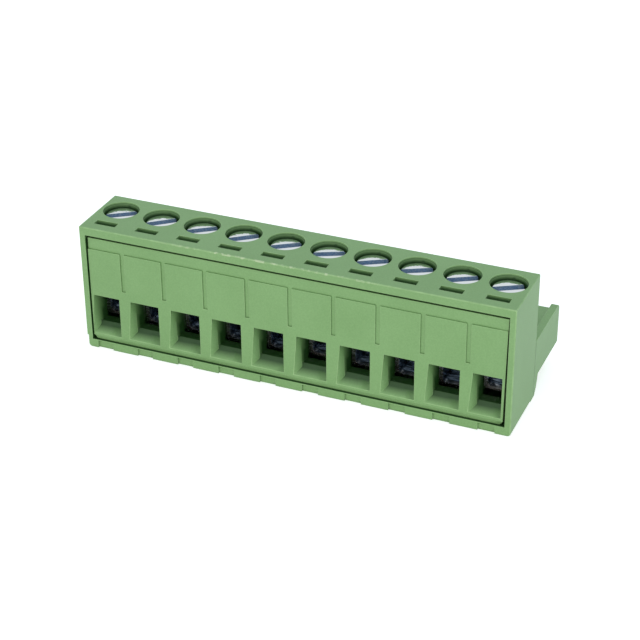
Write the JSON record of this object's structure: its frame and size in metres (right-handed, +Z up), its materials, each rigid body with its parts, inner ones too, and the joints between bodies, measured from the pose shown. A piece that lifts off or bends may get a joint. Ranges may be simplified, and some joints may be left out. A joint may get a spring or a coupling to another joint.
{
  "type": "pluggable terminal block",
  "caption": "Screw terminal plug for cable ends: moulded block with driver holes over rising-cage clamps, snapped-in wire frame, and a ribbed nose with forked spring contacts.",
  "frame": {"origin": "middle of the bounding box's underside, on the plane that the block stands on", "axes": "+X along the row of poles, -Y out of the wire entries, +Y out of the plug nose, +Z up along the screws"},
  "size_m": [0.0508, 0.0174, 0.0154],
  "materials": {
    "green_plastic": "fine moulded grain, satin",
    "zinc_steel": "bright zinc plating",
    "nickel_steel": "bright nickel plating",
    "tinned_bronze": "tin plating"
  },
  "bodies": {
    "block": {"housing": "green_plastic", "wire_frame": "green_plastic", "contact_01": "tinned_bronze", "contact_02": "tinned_bronze", "contact_03": "tinned_bronze", "contact_04": "tinned_bronze", "contact_05": "tinned_bronze", "contact_06": "tinned_bronze", "contact_07": "tinned_bronze", "contact_08": "tinned_bronze", "contact_09": "tinned_bronze", "contact_10": "tinned_bronze"},
    "screw_01": {"screw_01": "zinc_steel"},
    "clamp_01": {"clamp_01": "nickel_steel"},
    "screw_02": {"screw_02": "zinc_steel"},
    "clamp_02": {"clamp_02": "nickel_steel"},
    "screw_03": {"screw_03": "zinc_steel"},
    "clamp_03": {"clamp_03": "nickel_steel"},
    "screw_04": {"screw_04": "zinc_steel"},
    "clamp_04": {"clamp_04": "nickel_steel"},
    "screw_05": {"screw_05": "zinc_steel"},
    "clamp_05": {"clamp_05": "nickel_steel"},
    "screw_06": {"screw_06": "zinc_steel"},
    "clamp_06": {"clamp_06": "nickel_steel"},
    "screw_07": {"screw_07": "zinc_steel"},
    "clamp_07": {"clamp_07": "nickel_steel"},
    "screw_08": {"screw_08": "zinc_steel"},
    "clamp_08": {"clamp_08": "nickel_steel"},
    "screw_09": {"screw_09": "zinc_steel"},
    "clamp_09": {"clamp_09": "nickel_steel"},
    "screw_10": {"screw_10": "zinc_steel"},
    "clamp_10": {"clamp_10": "nickel_steel"}
  },
  "joints": [
    {"name": "screw_01_turn", "type": "hinge", "parent": "block", "child": "screw_01", "pos_m": [-0.02286, -0.00337, 0.0148], "axis": [0, 0, 1], "range_deg": [-2280.5, 280.5]},
    {"name": "clamp_01_lift", "type": "slide", "parent": "block", "child": "clamp_01", "axis": [0, 0, 1], "range_m": [-0.00035, 0.00285]},
    {"name": "screw_02_turn", "type": "hinge", "parent": "block", "child": "screw_02", "pos_m": [-0.01778, -0.00337, 0.0148], "axis": [0, 0, 1], "range_deg": [-2560.5, 0.5]},
    {"name": "clamp_02_lift", "type": "slide", "parent": "block", "child": "clamp_02", "axis": [0, 0, 1], "range_m": [0, 0.0032]},
    {"name": "screw_03_turn", "type": "hinge", "parent": "block", "child": "screw_03", "pos_m": [-0.0127, -0.00337, 0.0148], "axis": [0, 0, 1], "range_deg": [-2520.5, 40.5]},
    {"name": "clamp_03_lift", "type": "slide", "parent": "block", "child": "clamp_03", "axis": [0, 0, 1], "range_m": [-0.00005, 0.00315]},
    {"name": "screw_04_turn", "type": "hinge", "parent": "block", "child": "screw_04", "pos_m": [-0.00762, -0.00337, 0.0148], "axis": [0, 0, 1], "range_deg": [-2520.5, 40.5]},
    {"name": "clamp_04_lift", "type": "slide", "parent": "block", "child": "clamp_04", "axis": [0, 0, 1], "range_m": [-0.00005, 0.00315]},
    {"name": "screw_05_turn", "type": "hinge", "parent": "block", "child": "screw_05", "pos_m": [-0.00254, -0.00337, 0.0148], "axis": [0, 0, 1], "range_deg": [-2560.5, 0.5]},
    {"name": "clamp_05_lift", "type": "slide", "parent": "block", "child": "clamp_05", "axis": [0, 0, 1], "range_m": [0, 0.0032]},
    {"name": "screw_06_turn", "type": "hinge", "parent": "block", "child": "screw_06", "pos_m": [0.00254, -0.00337, 0.0148], "axis": [0, 0, 1], "range_deg": [-2240.5, 320.5]},
    {"name": "clamp_06_lift", "type": "slide", "parent": "block", "child": "clamp_06", "axis": [0, 0, 1], "range_m": [-0.0004, 0.0028]},
    {"name": "screw_07_turn", "type": "hinge", "parent": "block", "child": "screw_07", "pos_m": [0.00762, -0.00337, 0.0148], "axis": [0, 0, 1], "range_deg": [-2520.5, 40.5]},
    {"name": "clamp_07_lift", "type": "slide", "parent": "block", "child": "clamp_07", "axis": [0, 0, 1], "range_m": [-0.00005, 0.00315]},
    {"name": "screw_08_turn", "type": "hinge", "parent": "block", "child": "screw_08", "pos_m": [0.0127, -0.00337, 0.0148], "axis": [0, 0, 1], "range_deg": [-2560.5, 0.5]},
    {"name": "clamp_08_lift", "type": "slide", "parent": "block", "child": "clamp_08", "axis": [0, 0, 1], "range_m": [0, 0.0032]},
    {"name": "screw_09_turn", "type": "hinge", "parent": "block", "child": "screw_09", "pos_m": [0.01778, -0.00337, 0.0148], "axis": [0, 0, 1], "range_deg": [-2560.5, 0.5]},
    {"name": "clamp_09_lift", "type": "slide", "parent": "block", "child": "clamp_09", "axis": [0, 0, 1], "range_m": [0, 0.0032]},
    {"name": "screw_10_turn", "type": "hinge", "parent": "block", "child": "screw_10", "pos_m": [0.02286, -0.00337, 0.0148], "axis": [0, 0, 1], "range_deg": [-1960.5, 600.5]},
    {"name": "clamp_10_lift", "type": "slide", "parent": "block", "child": "clamp_10", "axis": [0, 0, 1], "range_m": [-0.00075, 0.00245]}
  ],
  "couplings": [
    {"joint": "screw_01_turn", "follows": "clamp_01_lift", "rad_per_m": -13963},
    {"joint": "screw_02_turn", "follows": "clamp_02_lift", "rad_per_m": -13963},
    {"joint": "screw_03_turn", "follows": "clamp_03_lift", "rad_per_m": -13963},
    {"joint": "screw_04_turn", "follows": "clamp_04_lift", "rad_per_m": -13963},
    {"joint": "screw_05_turn", "follows": "clamp_05_lift", "rad_per_m": -13963},
    {"joint": "screw_06_turn", "follows": "clamp_06_lift", "rad_per_m": -13963},
    {"joint": "screw_07_turn", "follows": "clamp_07_lift", "rad_per_m": -13963},
    {"joint": "screw_08_turn", "follows": "clamp_08_lift", "rad_per_m": -13963},
    {"joint": "screw_09_turn", "follows": "clamp_09_lift", "rad_per_m": -13963},
    {"joint": "screw_10_turn", "follows": "clamp_10_lift", "rad_per_m": -13963}
  ]
}
